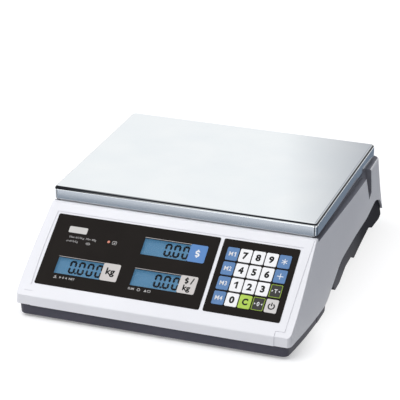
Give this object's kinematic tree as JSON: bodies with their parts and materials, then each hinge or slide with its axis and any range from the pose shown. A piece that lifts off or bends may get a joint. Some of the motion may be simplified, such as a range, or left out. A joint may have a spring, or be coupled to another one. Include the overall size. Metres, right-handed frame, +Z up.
{
  "type": "retail price scale",
  "caption": "low counter price scale with a sloped operator face, keypad and readouts, a lift-off steel platter on a load cell, a customer readout and levelling feet",
  "frame": {"origin": "on the surface that the feet stand on, at the middle of the overall width and depth", "axes": "+Z up, +Y from the operator towards the customer along the longest side, +X to the operator's right"},
  "size_m": [0.3276, 0.381, 0.115],
  "materials": {
    "white_shell": "fine moulded texture, very light grey-white ABS",
    "dark_base": "moulded texture, violet-grey ABS",
    "overlay_film": "satin printed polyester film",
    "black_plastic": "moulded black",
    "clear_window": "clear hard-coated window",
    "lcd_glass": "reflective liquid crystal glass, steel blue",
    "backlight_plastic": "milky light guide",
    "circuit_board": "green solder mask",
    "silicone_rubber": "milky silicone",
    "cell_aluminium": "machined",
    "cast_aluminium": "die cast, shot blasted",
    "steel_screws": "zinc plated",
    "battery_case": "moulded case of a sealed battery",
    "black_rubber": "soft moulded rubber",
    "stainless_sheet": "drawn stainless sheet, bright finish",
    "key_white": "printed satin cap",
    "key_blue": "printed satin cap",
    "key_black": "printed satin cap",
    "key_green": "printed satin cap",
    "key_grey": "printed satin cap"
  },
  "bodies": {
    "housing": {"upper_housing": "white_shell", "lower_housing": "dark_base", "display_overlay": "overlay_film", "keypad_overlay": "overlay_film", "keypad_frame": "black_plastic", "display_windows": "clear_window", "front_lcds": "lcd_glass", "lcd_backlights": "backlight_plastic", "front_display_board": "circuit_board", "keypad_board": "circuit_board", "key_domes": "silicone_rubber", "customer_overlay": "overlay_film", "customer_windows": "clear_window", "customer_lcds": "lcd_glass", "customer_backlights": "backlight_plastic", "customer_display_board": "circuit_board", "main_board": "circuit_board", "load_cell": "cell_aluminium", "load_cell_base": "cast_aluminium", "load_cell_screws": "steel_screws", "battery": "battery_case", "dc_inlet": "black_plastic", "level_vial": "clear_window", "housing_screws": "steel_screws", "board_screws": "steel_screws"},
    "platter_support": {"platter_carrier": "cast_aluminium", "carrier_pads": "black_rubber", "carrier_screws": "steel_screws"},
    "platter": {"platter": "stainless_sheet"},
    "battery_door": {"battery_door": "dark_base"},
    "key_m1": {"key_m1": "key_blue"},
    "key_7": {"key_7": "key_white"},
    "key_8": {"key_8": "key_white"},
    "key_9": {"key_9": "key_white"},
    "key_multiply": {"key_multiply": "key_blue"},
    "key_m2": {"key_m2": "key_blue"},
    "key_4": {"key_4": "key_white"},
    "key_5": {"key_5": "key_white"},
    "key_6": {"key_6": "key_white"},
    "key_plus": {"key_plus": "key_blue"},
    "key_m3": {"key_m3": "key_blue"},
    "key_1": {"key_1": "key_white"},
    "key_2": {"key_2": "key_white"},
    "key_3": {"key_3": "key_white"},
    "key_tare": {"key_tare": "key_black"},
    "key_m4": {"key_m4": "key_blue"},
    "key_0": {"key_0": "key_white"},
    "key_clear": {"key_clear": "key_green"},
    "key_zero": {"key_zero": "key_black"},
    "key_power": {"key_power": "key_grey"},
    "foot_pad_front_left": {"foot_pad_front_left": "black_rubber"},
    "foot_screw_front_left": {"foot_screw_front_left": "steel_screws"},
    "foot_pad_front_right": {"foot_pad_front_right": "black_rubber"},
    "foot_screw_front_right": {"foot_screw_front_right": "steel_screws"},
    "foot_pad_rear_left": {"foot_pad_rear_left": "black_rubber"},
    "foot_screw_rear_left": {"foot_screw_rear_left": "steel_screws"},
    "foot_pad_rear_right": {"foot_pad_rear_right": "black_rubber"},
    "foot_screw_rear_right": {"foot_screw_rear_right": "steel_screws"}
  },
  "joints": [
    {"name": "weighing_travel", "type": "slide", "parent": "housing", "child": "platter_support", "axis": [0, 0, -1], "range_m": [0, 0.0005], "stiffness_N_per_m": 300000, "deforming": ["load_cell"]},
    {"name": "platter_lift_off", "type": "slide", "parent": "platter_support", "child": "platter", "axis": [0, 0, 1], "range_m": [0, 0.06]},
    {"name": "battery_door_slide", "type": "slide", "parent": "housing", "child": "battery_door", "axis": [0, -1, 0], "range_m": [0, 0.012]},
    {"name": "key_m1_press", "type": "slide", "parent": "housing", "child": "key_m1", "axis": [0, 0.5707, -0.8211], "range_m": [0, 0.0005], "stiffness_N_per_m": 2500},
    {"name": "key_7_press", "type": "slide", "parent": "housing", "child": "key_7", "axis": [0, 0.5707, -0.8211], "range_m": [0, 0.0005], "stiffness_N_per_m": 2500},
    {"name": "key_8_press", "type": "slide", "parent": "housing", "child": "key_8", "axis": [0, 0.5707, -0.8211], "range_m": [0, 0.0005], "stiffness_N_per_m": 2500},
    {"name": "key_9_press", "type": "slide", "parent": "housing", "child": "key_9", "axis": [0, 0.5707, -0.8211], "range_m": [0, 0.0005], "stiffness_N_per_m": 2500},
    {"name": "key_multiply_press", "type": "slide", "parent": "housing", "child": "key_multiply", "axis": [0, 0.5707, -0.8211], "range_m": [0, 0.0005], "stiffness_N_per_m": 2500},
    {"name": "key_m2_press", "type": "slide", "parent": "housing", "child": "key_m2", "axis": [0, 0.5707, -0.8211], "range_m": [0, 0.0005], "stiffness_N_per_m": 2500},
    {"name": "key_4_press", "type": "slide", "parent": "housing", "child": "key_4", "axis": [0, 0.5707, -0.8211], "range_m": [0, 0.0005], "stiffness_N_per_m": 2500},
    {"name": "key_5_press", "type": "slide", "parent": "housing", "child": "key_5", "axis": [0, 0.5707, -0.8211], "range_m": [0, 0.0005], "stiffness_N_per_m": 2500},
    {"name": "key_6_press", "type": "slide", "parent": "housing", "child": "key_6", "axis": [0, 0.5707, -0.8211], "range_m": [0, 0.0005], "stiffness_N_per_m": 2500},
    {"name": "key_plus_press", "type": "slide", "parent": "housing", "child": "key_plus", "axis": [0, 0.5707, -0.8211], "range_m": [0, 0.0005], "stiffness_N_per_m": 2500},
    {"name": "key_m3_press", "type": "slide", "parent": "housing", "child": "key_m3", "axis": [0, 0.5707, -0.8211], "range_m": [0, 0.0005], "stiffness_N_per_m": 2500},
    {"name": "key_1_press", "type": "slide", "parent": "housing", "child": "key_1", "axis": [0, 0.5707, -0.8211], "range_m": [0, 0.0005], "stiffness_N_per_m": 2500},
    {"name": "key_2_press", "type": "slide", "parent": "housing", "child": "key_2", "axis": [0, 0.5707, -0.8211], "range_m": [0, 0.0005], "stiffness_N_per_m": 2500},
    {"name": "key_3_press", "type": "slide", "parent": "housing", "child": "key_3", "axis": [0, 0.5707, -0.8211], "range_m": [0, 0.0005], "stiffness_N_per_m": 2500},
    {"name": "key_tare_press", "type": "slide", "parent": "housing", "child": "key_tare", "axis": [0, 0.5707, -0.8211], "range_m": [0, 0.0005], "stiffness_N_per_m": 2500},
    {"name": "key_m4_press", "type": "slide", "parent": "housing", "child": "key_m4", "axis": [0, 0.5707, -0.8211], "range_m": [0, 0.0005], "stiffness_N_per_m": 2500},
    {"name": "key_0_press", "type": "slide", "parent": "housing", "child": "key_0", "axis": [0, 0.5707, -0.8211], "range_m": [0, 0.0005], "stiffness_N_per_m": 2500},
    {"name": "key_clear_press", "type": "slide", "parent": "housing", "child": "key_clear", "axis": [0, 0.5707, -0.8211], "range_m": [0, 0.0005], "stiffness_N_per_m": 2500},
    {"name": "key_zero_press", "type": "slide", "parent": "housing", "child": "key_zero", "axis": [0, 0.5707, -0.8211], "range_m": [0, 0.0005], "stiffness_N_per_m": 2500},
    {"name": "key_power_press", "type": "slide", "parent": "housing", "child": "key_power", "axis": [0, 0.5707, -0.8211], "range_m": [0, 0.0005], "stiffness_N_per_m": 2500},
    {"name": "foot_extend_front_left", "type": "slide", "parent": "housing", "child": "foot_pad_front_left", "axis": [0, 0, -1], "range_m": [0, 0.006]},
    {"name": "foot_turn_front_left", "type": "hinge", "parent": "foot_pad_front_left", "child": "foot_screw_front_left", "pos_m": [-0.122, -0.163, 0.0035], "axis": [0, 0, -1], "range_deg": [0, 1728.01]},
    {"name": "foot_extend_front_right", "type": "slide", "parent": "housing", "child": "foot_pad_front_right", "axis": [0, 0, -1], "range_m": [0, 0.006]},
    {"name": "foot_turn_front_right", "type": "hinge", "parent": "foot_pad_front_right", "child": "foot_screw_front_right", "pos_m": [0.122, -0.163, 0.0035], "axis": [0, 0, -1], "range_deg": [0, 1728.01]},
    {"name": "foot_extend_rear_left", "type": "slide", "parent": "housing", "child": "foot_pad_rear_left", "axis": [0, 0, -1], "range_m": [0, 0.006]},
    {"name": "foot_turn_rear_left", "type": "hinge", "parent": "foot_pad_rear_left", "child": "foot_screw_rear_left", "pos_m": [-0.122, 0.163, 0.0035], "axis": [0, 0, -1], "range_deg": [0, 1728.01]},
    {"name": "foot_extend_rear_right", "type": "slide", "parent": "housing", "child": "foot_pad_rear_right", "axis": [0, 0, -1], "range_m": [0, 0.006]},
    {"name": "foot_turn_rear_right", "type": "hinge", "parent": "foot_pad_rear_right", "child": "foot_screw_rear_right", "pos_m": [0.122, 0.163, 0.0035], "axis": [0, 0, -1], "range_deg": [0, 1728.01]}
  ],
  "couplings": [
    {"joint": "foot_turn_front_left", "follows": "foot_extend_front_left", "rad_per_m": 5026.5},
    {"joint": "foot_turn_front_right", "follows": "foot_extend_front_right", "rad_per_m": 5026.5},
    {"joint": "foot_turn_rear_left", "follows": "foot_extend_rear_left", "rad_per_m": 5026.5},
    {"joint": "foot_turn_rear_right", "follows": "foot_extend_rear_right", "rad_per_m": 5026.5}
  ]
}
